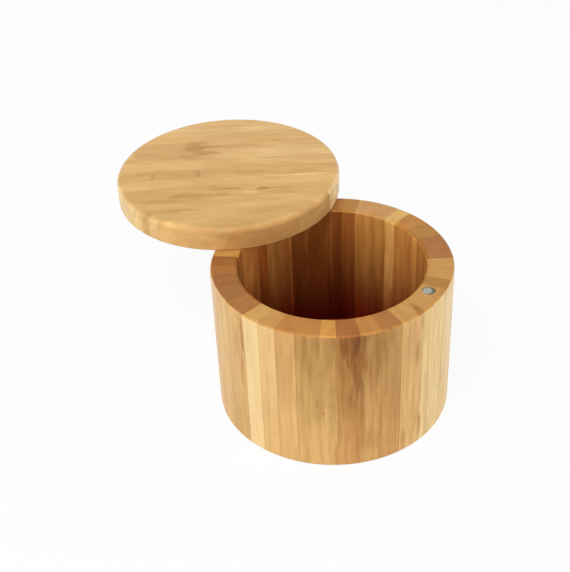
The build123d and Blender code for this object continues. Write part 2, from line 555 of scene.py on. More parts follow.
# %% [markdown]
# ## What bamboo looks like
#
# Bamboo is a grass. Its wood has no rings, but long straight fibres, fine dark vessels between them, and now
# and then a node, where the cane had its joint. All of that is stretched along the fibres. One node group
# makes it for every piece: noise squeezed hard along the fibres gives soft bands, narrower streaks and fine
# fibres, which are added up into one shade. A last noise, cut off high, leaves only short dark dashes. A
# group is used because it is made once and then shared by all the finishes.
#
# The three numbers of a layer say how often it changes in a millimetre: along the fibres, across them, and
# through the wood. The fibres aren't quite straight either, so a slow noise first pushes every place a little
# sideways.

# %% Make the bamboo fibres once
fibres = bpy.data.node_groups.new("bamboo_fibres", "ShaderNodeTree")
fibres.interface.new_socket("Place", in_out="INPUT", socket_type="NodeSocketVector")
for output in ("Shade", "Fine", "Dashes"):
    fibres.interface.new_socket(output, in_out="OUTPUT", socket_type="NodeSocketFloat")
cane_place = fibres.nodes.new("NodeGroupInput").outputs["Place"]
leave = fibres.nodes.new("NodeGroupOutput")

wander_fineness, wander_swing = (0.04, 0.07, 0.07), 0.8
wander = swinging_noise(fibres, cane_place, wander_fineness, wander_swing)
sideways = add_node(fibres, "CombineXYZ", {"X": 0.0, "Y": wander, "Z": 0.0}).outputs[0]
along_fibres = calculate_vector(fibres, "ADD", cane_place, sideways)


def grain_layer(fineness, detail=1.0, roughness=0.5, start=noise_low, end=noise_high):
    """One layer of the grain: noise along the fibres, black below its start and white above its end."""
    return fade(fibres, stretched_noise(fibres, along_fibres, fineness, detail, roughness), start, end)


bands = grain_layer((0.036, 0.28, 0.18))
streaks = grain_layer((0.075, 0.62, 0.48))
fine = grain_layer((0.08, 2.2, 1.7))
dashes = grain_layer((0.10, 2.4, 1.8), detail=2.0, roughness=0.6, start=0.60, end=0.74)

band_share, streak_share, fine_share = 0.6, 0.28, 0.12
shade = calculate(fibres, "MULTIPLY", bands, band_share)
shade = calculate(fibres, "MULTIPLY_ADD", streaks, streak_share, shade)
shade = calculate(fibres, "MULTIPLY_ADD", fine, fine_share, shade)
for output, value in (("Shade", shade), ("Fine", fine), ("Dashes", dashes)):
    fibres.links.new(value, leave.inputs[output])
print("node group", fibres.name, "with", len(fibres.nodes), "nodes")

# %% [markdown]
# ## Colours of the wood
#
# Bamboo strips are steamed for different times, so a batch holds everything from cream to toffee, and a maker
# mixes them. A short list of named tones is easier to tune than numbers spread over the script. Screen
# colours are changed to the linear values that shaders work in, by the usual curve of screens.

# %% Name the tones
def tone(red, green, blue):
    """A screen colour, 0 to 255, as linear light for a shader."""
    parts = [part / 255 for part in (red, green, blue)]
    return (*[part / 12.92 if part <= 0.04045 else ((part + 0.055) / 1.055) ** 2.4 for part in parts], 1)


tones = {
    "milk": tone(249, 217, 165),
    "cream": tone(241, 207, 144),
    "straw": tone(236, 199, 136),
    "blush": tone(236, 198, 152),
    "sand": tone(232, 190, 126),
    "apricot": tone(248, 190, 106),
    "honey": tone(226, 181, 115),
    "biscuit": tone(216, 172, 105),
    "wheat": tone(211, 163, 98),
    "tan": tone(203, 152, 88),
    "marigold": tone(226, 157, 80),
    "gold": tone(212, 151, 76),
    "rose": tone(207, 154, 100),
    "copper": tone(207, 140, 70),
    "olive": tone(187, 142, 78),
    "amber": tone(193, 131, 66),
    "caramel": tone(181, 129, 65),
    "bark": tone(175, 128, 66),
    "ginger": tone(192, 114, 52),
    "toffee": tone(175, 115, 61),
    "russet": tone(167, 102, 46),
    "sienna": tone(160, 104, 54),
    "umber": tone(142, 82, 36),
}
print("tones:", ", ".join(tones))

# %% [markdown]
# What darkens wood, such as a vessel, a node or glue, works like a stain: it takes away a share of each
# colour and lets the tone below show through. Multiplying does just that. Blue goes first, so dark bamboo
# turns brown and not grey. A stain above 1 makes the wood paler. Two entries paint light instead: the
# bowl's is painted shade, and the rounded edge's is partly sanding and partly a painted highlight.

# %% Name the stains
stains = {
    "pale fibre": (1.05, 1.06, 1.10, 1),
    "dark fibre": (0.62, 0.50, 0.36, 1),
    "dash": (0.60, 0.44, 0.30, 1),
    "dark mark": (0.60, 0.46, 0.22, 1),
    "pale mark": (1.7, 1.9, 2.1, 1),
    # Painted shade, not a stain in the wood: the dark red of the deep bowl and of its floor's corner.
    "painted bowl shade": (0.20, 0.02, 0.02, 1),
    "end grain": (0.78, 0.66, 0.52, 1),
    "cut vessel": (0.45, 0.32, 0.22, 1),
    # Partly sanding wear and partly a painted highlight on the rounded edge.
    "worn and lit edge": (1.10, 1.16, 1.25, 1),
    "stave glue": (0.42, 0.27, 0.17, 1),
    "strip glue": (0.50, 0.34, 0.22, 1),
}


def stained(tree, share, colour, stain):
    """A colour with a stain on it, in full where the share is 1 and not at all where it is 0."""
    return mix_colours(tree, share, colour, stains[stain], "MULTIPLY")


print("stains:", ", ".join(stains))

# %% [markdown]
# The fibres lighten and darken a tone. Mixing between a paler and a darker kind of the tone by the fibres'
# shade keeps both in the wood's own colour, which adding grey would not. Where fibres end at the surface, the
# vessels are cut across and show as dots: the cells of a Voronoi texture, shrunk to their middles.

# %% Stain wood by its fibres and vessels
fibre_contrast, dash_strength = 1.7, 0.9
dot_outside, dot_inside = 0.32, 0.12


def fibre_colour(tree, colour, shade, dashes, streaky):
    """Lighten and darken a tone along its fibres, and add the dark dashes."""
    pale = stained(tree, 1.0, colour, "pale fibre")
    dark = stained(tree, 1.0, colour, "dark fibre")
    shade = calculate(tree, "MULTIPLY_ADD", shade, fibre_contrast, 0.5 - 0.5 * fibre_contrast)
    colour = mix_colours(tree, calculate(tree, "MULTIPLY", shade, streaky), pale, dark)
    dashes = calculate(tree, "MULTIPLY", calculate(tree, "MULTIPLY", dashes, dash_strength), streaky)
    return stained(tree, dashes, colour, "dash")


def cut_vessels(tree, place, fineness, strength):
    """How strongly the dots of cut vessels show at a place."""
    dots = add_node(tree, "TexVoronoi", {"Vector": place, "Scale": fineness}, feature="F1")
    return fade(tree, dots.outputs["Distance"], dot_outside, dot_inside, 0.0, strength)


print("wood colouring ready")

# %% [markdown]
# On top of the fibres come the marks of nodes, bruises and pale streaks. They are too large and too
# particular for noise, so each is an oval, given one by one. Its outline follows ragged noise, because a
# clean oval would look stamped on.

# %% Stain one mark
mark_outside, mark_inside = 1.35, 0.45


# A pale mark may also be a painted highlight, as one on the lid's edge is.
def add_mark(tree, colour, place, mark, ragged):
    """Stain one oval mark, given as its middle, its half sizes and its strength. A strength below zero makes
    a pale mark."""
    middle, half_sizes, strength = mark
    scaled = calculate_vector(tree, "SUBTRACT", place, middle)
    scaled = calculate_vector(tree, "MULTIPLY", scaled, tuple(1 / half for half in half_sizes))
    reach = add_node(tree, "VectorMath", {0: scaled}, operation="LENGTH").outputs["Value"]
    reach = calculate(tree, "ADD", reach, ragged)
    share = fade(tree, reach, mark_outside, mark_inside, 0.0, abs(strength))
    return stained(tree, share, colour, "dark mark" if strength > 0 else "pale mark")


print("marks ready")

# %% [markdown]
# The box is oiled and buffed, which leaves a soft shine and no film. The fine fibres break the shine up and
# stand out a little in relief. Real relief would need a very fine mesh. Bump, which only bends the light, is
# enough for fibres that never show on the outline. Inside the bowl the cloth doesn't reach the wood as well,
# so there is less shine.

# %% Give the wood its shine
wood_ior, wood_shine, bowl_shine = 1.45, 0.35, 0.08
smoothest, roughest = 0.42, 0.56
relief_strength, relief_depth = 0.12, 0.2 * MM


def finish_surface(tree, wood, fine, shine=wood_shine):
    """Roughness and relief from the fine fibres. Shine is a value, or a socket if it changes over the
    piece."""
    tree.links.new(fade(tree, fine, 0, 1, smoothest, roughest), wood.inputs["Roughness"])
    relief = add_node(tree, "Bump", {"Strength": relief_strength, "Distance": relief_depth, "Height": fine})
    tree.links.new(relief.outputs[0], wood.inputs["Normal"])
    wood.inputs["IOR"].default_value = wood_ior
    if isinstance(shine, bpy.types.NodeSocket):
        tree.links.new(shine, wood.inputs["Specular IOR Level"])
    else:
        wood.inputs["Specular IOR Level"].default_value = shine


def cover(piece, material):
    """Give a piece this one material."""
    piece.data.materials.clear()
    piece.data.materials.append(material)


print("shine ready, roughness from", smoothest, "to", roughest)

# %% [markdown]
# ## Where a point lies on its piece
#
# A finish goes by place, so it needs to know where a point is on its own piece. Object coordinates give the
# place in the box. Mapping, set to Texture, then undoes the piece's own turn and shift, and changes metres to
# millimetres. After it, all staves share the same directions and sizes, and so do all strips of a board.
#
# The fibres are read at that place too, but moved a long way along the cane for each piece, so that no two
# match.

# %% Find a point's own place
def own_place(tree, centre=Vector((0, 0, 0)), turn=0.0):
    """A point's place in millimetres from a centre, in directions that are turned with the piece."""
    origin = add_node(tree, "TexCoord").outputs["Object"]
    frame_of_piece = {"Location": tuple(centre * MM), "Rotation": (0, 0, turn), "Scale": (MM, MM, MM)}
    return add_node(tree, "Mapping", {"Vector": origin, **frame_of_piece}, vector_type="TEXTURE").outputs[0]


def own_fibres(tree, along, across, through, shift, fineness=(1, 1, 1)):
    """The place in the cane, and the fibres' shade, fine layer and dashes there. A fineness above 1 makes
    the grain finer."""
    parts = {"X": calculate(tree, "ADD", along, shift), "Y": across, "Z": through}
    cane_place = calculate_vector(tree, "MULTIPLY", add_node(tree, "CombineXYZ", parts).outputs[0], fineness)
    return cane_place, *add_node(tree, "Group", {0: cane_place}, node_tree=fibres).outputs


print("ready to find places and fibres")

# %% [markdown]
# ## The finish of a stave
#
# A stave shows three kinds of surface. Outside and inside, the fibres run up the wall. On the rim they are
# cut across, so the end grain is darker and dotted, without streaks. Three materials and three sets of faces
# would do, but the rounded edge would then show a hard change. One material that looks at its own place, how
# far out and how high, turns gently from one to the other.
#
# The wall is one tone at its foot and another near the top. Inside, it gets darker and redder towards the
# floor of the bowl, where light only comes after bouncing from wood to wood. The renderer stops after a few
# bounces, so painted shade adds the rest of that depth.

# %% Colour the wall of a stave
foot_tone_ends, top_tone_starts = 8, 56
bowl_darkens_from, bowl_darkest_at = 58, 8


def wall_colour(tree, height, inside, wall_top, wall_foot, bowl):
    """The tones of a stave's outside and of its inside, with painted shade deep in the bowl."""
    near_top = fade(tree, height, foot_tone_ends, top_tone_starts)
    outer = mix_colours(tree, near_top, tones[wall_foot], tones[wall_top])
    # Painted shade: darker and redder towards the floor of the bowl.
    inner = stained(tree, fade(tree, height, bowl_darkens_from, bowl_darkest_at), tones[bowl], "painted bowl shade")
    return mix_colours(tree, inside, outer, inner)


print("walls change tone from", foot_tone_ends, "to", top_tone_starts, "mm up")

# %% [markdown]
# End grain drinks more oil than the wall, so it comes out yellower, with soft blotches and the dots of cut
# vessels. The rounding below the rim is painted a little paler: partly because it is sanded last and across
# the fibres, and partly as a painted highlight where the rounded edge catches the light.

# %% Colour the rim of a stave
rim_blue = 0.84
blotch_fineness, blotch_detail, blotch_roughness, blotch_strength = (0.5, 0.35, 0.16), 3.0, 0.6, 0.5
rim_dot_fineness, rim_dot_strength = 2.2, 0.16
lit_edge_from, lit_edge_to = 0.05, 0.4


def rim_colour(tree, place, cane_place, height, rim, marks, ragged):
    """The tone of a stave's end grain, with its blotches, dots and marks. Its rounding is painted paler,
    partly as a painted highlight.
    """
    blotches = stretched_noise(tree, cane_place, blotch_fineness, blotch_detail, blotch_roughness)
    red, green, blue, opaque = tones[rim]
    share = fade(tree, blotches, noise_low, noise_high, 0.0, blotch_strength)
    colour = stained(tree, share, (red, green, rim_blue * blue, opaque), "end grain")
    colour = stained(tree, cut_vessels(tree, place, rim_dot_fineness, rim_dot_strength), colour, "cut vessel")
    for mark in marks:
        colour = add_mark(tree, colour, place, mark, ragged)
    # The rounding below the rim is painted paler: partly sanding, partly a painted highlight.
    worn_and_lit = fade(tree, height, body_height - lit_edge_from, body_height - lit_edge_to)
    return stained(tree, worn_and_lit, colour, "worn and lit edge")


print("the worn and lit edge ends", lit_edge_to, "mm below the rim")

# %% [markdown]
# The two glue lines lie at a stave's sides: thin, dark where the fit was less than perfect, and always faint
# on the rim. As the ring is round, they are found by the angle from the stave's middle.

# %% Stain the glue lines of a stave
glue_starts, glue_full, rim_joint = 0.34, 0.06, 0.12


def stave_glue(tree, colour, out, across, angle, on_top, joint):
    """Stain the glue at both sides of a stave that is this many degrees wide."""
    side = calculate(tree, "ABSOLUTE", calculate(tree, "ARCTAN2", across, out))
    line = fade(tree, side, radians(angle / 2 - glue_starts), radians(angle / 2 - glue_full))
    line = calculate(tree, "MULTIPLY", line, fade(tree, on_top, 0, 1, joint, rim_joint))
    return stained(tree, line, colour, "stave glue")


print("glue lines", glue_starts, "degrees wide on each side")

# %% [markdown]
# The whole finish of a stave puts wall, rim and glue lines together. The end grain reaches down over part of
# the rounding, a little further on some staves than on others.

# %% Build the finish of a stave
stave_shift = 173.0
inside_starts, inside_full = 1.5, 0.7
rag_fineness, wall_raggedness, rim_raggedness = (0.12, 0.8, 0.6), 0.8, 0.35
extra_bowl_streaks = 0.5
rim_blur = 0.15


def stave_finish(number, middle, angle, looks, streaky, joint, grain_depth, wall_marks, rim_marks):
    """The finish of one stave. Its looks are the tones of rim, wall near the top, wall near the foot, and
    bowl. Streaky is how much its fibres show, joint how dark its glue lines are on the wall, and grain_depth
    how far below the rim its end grain still shows, in millimetres."""
    rim, wall_top, wall_foot, bowl = looks
    material, tree, wood = start_material(f"bamboo_stave_{number:02d}")
    place = own_place(tree, turn=radians(middle))
    out, across, height = add_node(tree, "SeparateXYZ", {0: place}).outputs
    cane_place, shade, fine, dashes = own_fibres(tree, height, across, out, stave_shift * number)
    ragged = swinging_noise(tree, cane_place, rag_fineness, wall_raggedness)

    inside = fade(tree, out, bore_radius + inside_starts, bore_radius + inside_full)
    wall = wall_colour(tree, height, inside, wall_top, wall_foot, bowl)
    more_streaky = calculate(tree, "MULTIPLY_ADD", inside, extra_bowl_streaks * streaky, streaky)
    wall = fibre_colour(tree, wall, shade, dashes, more_streaky)
    for mark in wall_marks:
        wall = add_mark(tree, wall, place, mark, ragged)

    less_ragged = calculate(tree, "MULTIPLY", ragged, rim_raggedness)
    top = rim_colour(tree, place, cane_place, height, rim, rim_marks, less_ragged)
    grain_end = body_height - grain_depth
    on_top = fade(tree, height, grain_end - rim_blur, grain_end + rim_blur)
    colour = stave_glue(tree, mix_colours(tree, on_top, wall, top), out, across, angle, on_top, joint)
    tree.links.new(colour, wood.inputs["Base Color"])
    finish_surface(tree, wood, fine, fade(tree, inside, 0, 1, wood_shine, bowl_shine))
    return material


print("finish for staves ready")

# %% [markdown]
# Each stave now gets its own tones, because no two come from the same cane: rim, wall near the top, wall near
# the foot, and bowl. The bowl tones are darker and redder than the outside of the same staves, which is
# partly painted shade of the deep bowl. Some are streakier than others, some have darker joints, and the end
# grain reaches further down on some than on others.

# %% Choose the tones of the staves
# The fourth tone of each stave, the bowl's, is partly painted shade.
stave_looks = {
    1: ("olive", "honey", "honey", "marigold"),
    2: ("tan", "straw", "straw", "amber"),
    3: ("sienna", "sand", "honey", "russet"),
    4: ("toffee", "honey", "honey", "toffee"),
    5: ("sienna", "blush", "sand", "toffee"),
    6: ("sienna", "sand", "honey", "russet"),
    7: ("toffee", "honey", "biscuit", "amber"),
    8: ("wheat", "cream", "cream", "copper"),
    9: ("tan", "sand", "honey", "copper"),
    10: ("amber", "wheat", "honey", "amber"),
    11: ("amber", "olive", "biscuit", "amber"),
    12: ("gold", "olive", "biscuit", "amber"),
    13: ("russet", "caramel", "tan", "amber"),
    14: ("amber", "bark", "wheat", "copper"),
    15: ("toffee", "olive", "tan", "amber"),
    16: ("tan", "honey", "honey", "copper"),
    17: ("tan", "straw", "cream", "amber"),
    18: ("tan", "cream", "cream", "amber"),
    19: ("caramel", "milk", "cream", "copper"),
    20: ("tan", "milk", "cream", "copper"),
    21: ("tan", "straw", "honey", "amber"),
    22: ("toffee", "honey", "wheat", "copper"),
    23: ("toffee", "wheat", "honey", "copper"),
    24: ("caramel", "sand", "honey", "marigold"),
    25: ("amber", "honey", "honey", "marigold"),
    26: ("honey", "straw", "straw", "apricot"),
    27: ("rose", "honey", "straw", "gold"),
    28: ("rose", "wheat", "honey", "gold"),
    29: ("caramel", "wheat", "wheat", "russet"),
    30: ("toffee", "honey", "honey", "umber"),
    31: ("amber", "straw", "honey", "russet"),
    32: ("tan", "honey", "sand", "russet"),
    33: ("toffee", "wheat", "wheat", "copper"),
    34: ("amber", "straw", "straw", "gold"),
    35: ("tan", "sand", "honey", "ginger"),
    36: ("amber", "honey", "wheat", "marigold"),
}
usual_streakiness, usual_joint, usual_grain_depth = 0.32, 0.12, 0.6
streakiness = {
    5: 0.3, 8: 0.2, 9: 0.25, 11: 0.45, 12: 0.5, 13: 0.55,
    14: 0.5, 15: 0.45, 16: 0.4, 17: 0.4, 19: 0.25,
}
wall_joints = {4: 0.4, 9: 0.45, 10: 0.4, 15: 0.3, 16: 0.25, 19: 0.5}
grain_depths = {
    2: 0.35, 3: 0.3, 4: 0.3, 5: 0.2, 6: 0.12, 7: 0.2, 8: 0.5,
    13: 0.75, 14: 0.75, 17: 0.45, 18: 0.3, 19: 0.3, 20: 0.4,
}
print("tones chosen for", len(stave_looks), "staves")

# %% [markdown]
# Some staves also carry marks. The largest on the box is the dark node at the top of stave 13. A mark on the
# outside or in the bowl is given as its place across and up the wall, its half sizes and its strength, and
# one on the rim by its place out and across. How deep its oval goes into the wood is the same for all marks
# of a kind, so a helper adds that.

# %% Choose the marks of the staves
outer_marks = {
    7: [((3.9, 51), (0.6, 8), 0.8), ((3.0, 35.5), (0.9, 7), 0.7), ((1.6, 43), (0.5, 9), 0.4),
        ((1.2, 55), (0.8, 4), -0.3)],
    10: [((3.2, 40), (0.7, 7), -0.25)],
    11: [((3.2, 29.5), (0.4, 2.2), 0.7), ((-1.0, 50), (1.2, 9), 0.25), ((-3.4, 41), (0.8, 7), -0.25),
         ((3.2, 55.5), (1.9, 5), 0.4), ((0.1, 26), (1.4, 8), 0.2)],
    12: [((0.6, 29), (2.2, 1.4), 0.25), ((-1.9, 25.5), (0.45, 0.7), 0.6), ((1.9, 43), (0.8, 6), -0.3),
         ((2.0, 57), (1.0, 4), 0.4), ((0.5, 41), (1.0, 6), -0.25), ((4.2, 48), (0.7, 16), 0.3)],
    13: [((1.0, 56), (5.0, 8), 0.85), ((2.6, 57.5), (1.6, 3.5), 0.4), ((0.0, 48), (1.0, 5), -0.3),
         ((3.0, 46), (2.4, 16), 0.7), ((-0.6, 41), (3.0, 9), 0.4), ((-1.2, 28), (2.2, 7), 0.3),
         ((3.2, 18), (1.4, 19), 0.5)],
    14: [((-3.0, 50), (1.7, 16), 0.85), ((-3.5, 22), (1.3, 22), 0.6), ((-2.2, 58), (1.8, 4), 0.45),
         ((1.0, 42), (0.8, 6), -0.25), ((0.7, 3.5), (2.5, 4), -0.3), ((3.8, 23), (0.9, 13), 0.45)],
    15: [((-2.2, 42), (0.9, 16), 0.25), ((-1.0, 57), (2.8, 5.5), 0.4), ((-2.8, 26), (0.7, 7), 0.3)],
    16: [((-3.4, 24), (0.8, 16), 0.3), ((3.2, 45), (1.1, 6), 0.5), ((-1.0, 52), (0.5, 9), 0.2),
         ((-2.5, 5), (1.1, 7), 0.5)],
    17: [((0.8, 35), (0.9, 20), 0.25), ((-2.8, 38), (1.0, 25), 0.5), ((-2.9, 7), (1.0, 9), 0.7),
         ((-3.2, 57), (0.8, 5), 0.3)],
    18: [((2.5, 35), (0.8, 25), 0.25)],
}
bowl_marks = {
    1: [((-1.7, 38), (1.8, 10), -0.5)],
    2: [((-1.6, 58), (2.0, 4), 0.4)],
    3: [((-1.5, 58), (2.5, 5), 0.4)],
    22: [((2.0, 50), (1.0, 10), 0.4)],
    24: [((2.0, 50), (1.2, 11), 0.3), ((-2.5, 48), (0.8, 10), -0.3), ((-1.1, 58), (1.2, 4), -0.25)],
    26: [((0.0, 28), (3.6, 16), -0.3), ((2.2, 36), (0.5, 24), 0.4), ((-1.0, 38), (1.6, 9), -0.35)],
    27: [((2.0, 45), (1.0, 18), 0.3), ((-2.9, 42), (0.5, 14), 0.25)],
    28: [((-0.8, 49), (1.2, 9), 0.3)],
    29: [((1.3, 42), (1.1, 15), 0.5)],
    30: [((1.6, 40), (1.0, 36), -0.9)],
    32: [((-2.7, 48), (0.9, 10), -0.5), ((1.8, 22), (1.6, 9), 0.5)],
    33: [((-2.4, 34), (0.6, 30), -0.6)],
    34: [((0.0, 40), (0.9, 22), -0.3)],
    36: [((1.9, 40), (1.0, 10), -0.4), ((0.8, 55), (1.4, 9), 0.5)],
}
rim_marks = {
    4: [((37.8, 2.9), (2.2, 0.45), 0.8), ((41.0, 3.15), (2.4, 0.4), 0.65)],
    5: [((37.8, -2.75), (2.2, 0.35), 0.6)],
    13: [((43.5, 2.8), (1.5, 1.6), 0.3)],
    16: [((43.7, 4.1), (2.6, 1.5), 0.65)],
    17: [((40.0, -2.0), (2.6, 0.9), 0.6), ((42.8, -2.9), (2.9, 1.4), 0.65)],
    18: [((43.0, 2.4), (1.5, 2.0), 0.35)],
    25: [((35.0, 2.9), (1.6, 0.9), -0.5)],
}


def on_wall(marks, out, depth):
    """Flat marks of a wall as ovals in the wood, with their middles this far out."""
    return [((out, *middle), (depth, *halves), strength) for middle, halves, strength in marks]


def on_flat(marks, level, depth):
    """Flat marks of a level face as ovals in the wood, with their middles at this level."""
    return [((*middle, level), (*halves, depth), strength) for middle, halves, strength in marks]


print("staves marked outside, in the bowl and on the rim:", len(outer_marks), len(bowl_marks), len(rim_marks))

# %% [markdown]
# With tones and marks chosen, one loop finishes the whole ring. The usual values stand in for every stave
# that has none of its own in a table.

# %% Finish the staves
outer_mark_out, outer_mark_depth = 43, 5
bowl_mark_out, bowl_mark_depth = 33, 3
rim_mark_level, rim_mark_depth = 61, 4

for number, (piece, middle, angle) in enumerate(zip(staves, stave_middles, stave_angles), 1):
    wall_marks = on_wall(outer_marks.get(number, []), outer_mark_out, outer_mark_depth)
    wall_marks += on_wall(bowl_marks.get(number, []), bowl_mark_out, bowl_mark_depth)
    cover(piece, stave_finish(
        number, middle, angle, stave_looks[number],
        streaky=streakiness.get(number, usual_streakiness),
        joint=wall_joints.get(number, usual_joint),
        grain_depth=grain_depths.get(number, usual_grain_depth),
        wall_marks=wall_marks,
        rim_marks=on_flat(rim_marks.get(number, []), rim_mark_level, rim_mark_depth),
    ))
print("finished", len(staves), "staves")

# %% [markdown]
# ## The finish of the lid and the base
#
# On a flat board the fibres run along each strip. The top shows them lengthwise, and the round edge cuts
# through them more and more towards the strips' ends, where it turns to end grain. The finish again goes by
# place: how far along the strip, how far across, how high. A strip may change tone slowly along its face and,
# on the edge, along a slanted line. Boards show a broader grain than the staves, since they are cut from the
# flat side of the cane.

# %% Colour the wood of a strip
edge_starts, edge_full = 1.4, 0.2
edge_lean, edge_change_starts, edge_change_ends = 0.6, 2.3, 3.7
face_change = 0.45


def board_colour(tree, along, height, reach, looks, radius):
    """The tones of a strip's face and round edge, and how far a point lies on that edge, from 0 to 1."""
    face_start, face_end, side_start, side_end = [tones[look] for look in looks]
    far_along = fade(tree, along, -face_change * radius, face_change * radius)
    face = mix_colours(tree, far_along, face_start, face_end)
    slanted = calculate(tree, "MULTIPLY_ADD", height, edge_lean, along)
    side = mix_colours(tree, fade(tree, slanted, edge_change_starts, edge_change_ends), side_start, side_end)
    on_edge = fade(tree, reach, radius - edge_starts, radius - edge_full)
    return mix_colours(tree, on_edge, face, side), on_edge


print("the edge's tones start", edge_starts, "mm inside the edge")

# %% [markdown]
# The base is also the floor of the bowl. Close to the wall hardly any light reaches it, so there it gets the
# same painted shade as the wall's foot. Without it, a pale sliver of floor would shine up behind the front of
# the rim.

# %% Shade the floor's corner
corner_starts, corner_full = 4.0, 0.8
floor_skin, floor_skin_full = 1.0, 0.5


def floor_corner(tree, colour, height, reach, floor_level):
    """Paint shade on the top of the base where it meets the wall of the bowl."""
    near_wall = fade(tree, reach, bore_radius - corner_starts, bore_radius - corner_full)
    near_top = fade(tree, height, floor_level - floor_skin, floor_level - floor_skin_full)
    # Painted shade in the corner where the floor meets the wall.
    return stained(tree, calculate(tree, "MULTIPLY", near_wall, near_top), colour, "painted bowl shade")


print("the floor darkens over its last", corner_starts, "mm")

# %% [markdown]
# Cut vessels show only on the edge, and only near a strip's ends, where the turning tool went straight across
# the fibres. The glue lines of a strip are straight, so they are found by the distance from the strip's
# middle.

# %% Stain the cut ends and the glue lines of a strip
ends_start, ends_full = 0.5, 0.95
edge_dot_fineness, edge_dot_strength = 2.0, 0.35
strip_glue_starts, strip_glue_full = 0.3, 0.05


def cut_ends(tree, colour, place, along, on_edge, radius):
    """Stain the vessels that the round edge cuts through."""
    near_ends = fade(tree, calculate(tree, "ABSOLUTE", along), ends_start * radius, ends_full * radius)
    cut_across = calculate(tree, "MULTIPLY", near_ends, on_edge)
    dots = cut_vessels(tree, place, edge_dot_fineness, edge_dot_strength)
    return stained(tree, calculate(tree, "MULTIPLY", dots, cut_across), colour, "cut vessel")


def strip_glue(tree, colour, across, near, far, joint):
    """Stain the glue at both edges of a strip."""
    middle, half_width = (near + far) / 2, (far - near) / 2
    from_middle = calculate(tree, "ABSOLUTE", calculate(tree, "SUBTRACT", across, middle))
    line = fade(tree, from_middle, half_width - strip_glue_starts, half_width - strip_glue_full, 0.0, joint)
    return stained(tree, line, colour, "strip glue")


print("glue lines", strip_glue_starts, "mm wide on each side")

# %% [markdown]
# The finish of a strip adds fibres, marks, cut vessels and glue lines in the same order as on a stave.

# %% Build the finish of a strip
strip_shift, strip_fineness = 211.0, (1.3, 0.65, 0.8)
strip_rag_fineness, strip_raggedness = (0.14, 0.6, 0.6), 0.9


def strip_finish(name, number, centre, turn, near, far, looks, streaky, joint, radius,
                 marks=(), floor_level=None):
    """The finish of one strip of a board. Near and far are its edges in millimetres across the board. Its
    looks are the tones of its face and of its side, each first for the end where the fibres start and then
    for the other."""
    material, tree, wood = start_material(f"{name}_{number:02d}")
    place = own_place(tree, centre, turn)
    along, across, height = add_node(tree, "SeparateXYZ", {0: place}).outputs
    shift = strip_shift * number
    cane_place, shade, fine, dashes = own_fibres(tree, along, across, height, shift, strip_fineness)
    flat = add_node(tree, "CombineXYZ", {"X": along, "Y": across, "Z": 0.0}).outputs[0]
    reach = add_node(tree, "VectorMath", {0: flat}, operation="LENGTH").outputs["Value"]

    colour, on_edge = board_colour(tree, along, height, reach, looks, radius)
    colour = fibre_colour(tree, colour, shade, dashes, streaky)
    ragged = swinging_noise(tree, cane_place, strip_rag_fineness, strip_raggedness)
    for mark in marks:
        colour = add_mark(tree, colour, place, mark, ragged)
    colour = cut_ends(tree, colour, place, along, on_edge, radius)
    colour = strip_glue(tree, colour, across, near, far, joint)
    if floor_level:
        colour = floor_corner(tree, colour, height, reach, floor_level)
    tree.links.new(colour, wood.inputs["Base Color"])
    finish_surface(tree, wood, fine)
    return material


print("finish for strips ready")

# %% [markdown]
# The lid is the piece that is seen most, so every strip has its own tones for face and edge. Most of its
# marks lie on the face: the large node on the fourth strip, and thin darker and paler lines along the fibres.
# The few on the edge need their height and depth as well. The pale edge tones of strips 7 to 9 are partly
# painted highlight where the end grain catches the light, and the pale mark high on strip 12's edge is a
# painted highlight on the rounding.

# %% Choose the tones and marks of the lid
lid_looks = {
    1: ("honey", "honey", "sand", "honey"),
    2: ("sand", "sand", "sand", "honey"),
    3: ("honey", "honey", "sand", "honey"),
    4: ("honey", "biscuit", "sand", "honey"),
    5: ("sand", "biscuit", "sand", "honey"),
    6: ("honey", "honey", "sand", "honey"),
    # Strips 7 to 9: their pale edge tones are partly painted highlight.
    7: ("biscuit", "biscuit", "blush", "straw"),
    8: ("honey", "honey", "milk", "milk"),
    9: ("biscuit", "biscuit", "cream", "cream"),
    10: ("honey", "biscuit", "wheat", "straw"),
    11: ("biscuit", "biscuit", "wheat", "sand"),
    12: ("biscuit", "biscuit", "tan", "wheat"),
}
face_marks = {
    2: [((0, -36.8), (16, 0.9), 0.25)],
    4: [((13.4, -20.0), (4.8, 4.6), 0.55), ((-16, -22.4), (14, 1.0), 0.3), ((-5, -19.2), (14, 1.7), 0.4)],
    5: [((10.5, -14.8), (5.5, 2.0), 0.45), ((15.6, -11.7), (3.6, 2.0), 0.3), ((26, -9.2), (12, 0.5), -0.3)],
    7: [((29.9, 2.8), (1.0, 2.9), 0.28), ((11.9, 2.4), (0.9, 3.0), 0.38), ((34.5, 1.3), (2.4, 2.0), 0.15),
        ((-8.0, 2.6), (8, 1.7), 0.32), ((-29.8, 3.6), (6, 1.5), 0.2), ((22, 1.5), (22, 2.2), 0.12)],
    8: [((-26, 6.6), (14, 0.6), -0.3), ((3, 12.6), (16, 0.8), 0.25)],
    9: [((-12.9, 16.1), (2.8, 1.0), 0.6), ((-21, 15.9), (9, 0.8), 0.4), ((-8.5, 18.6), (3, 1.2), -0.25),
        ((12, 19.2), (13, 2.4), 0.4), ((-0.5, 15.3), (7, 1.0), 0.4)],
    10: [((22, 22.3), (12, 1.3), 0.35)],
    11: [((18, 29.4), (9, 0.6), 0.35)],
}
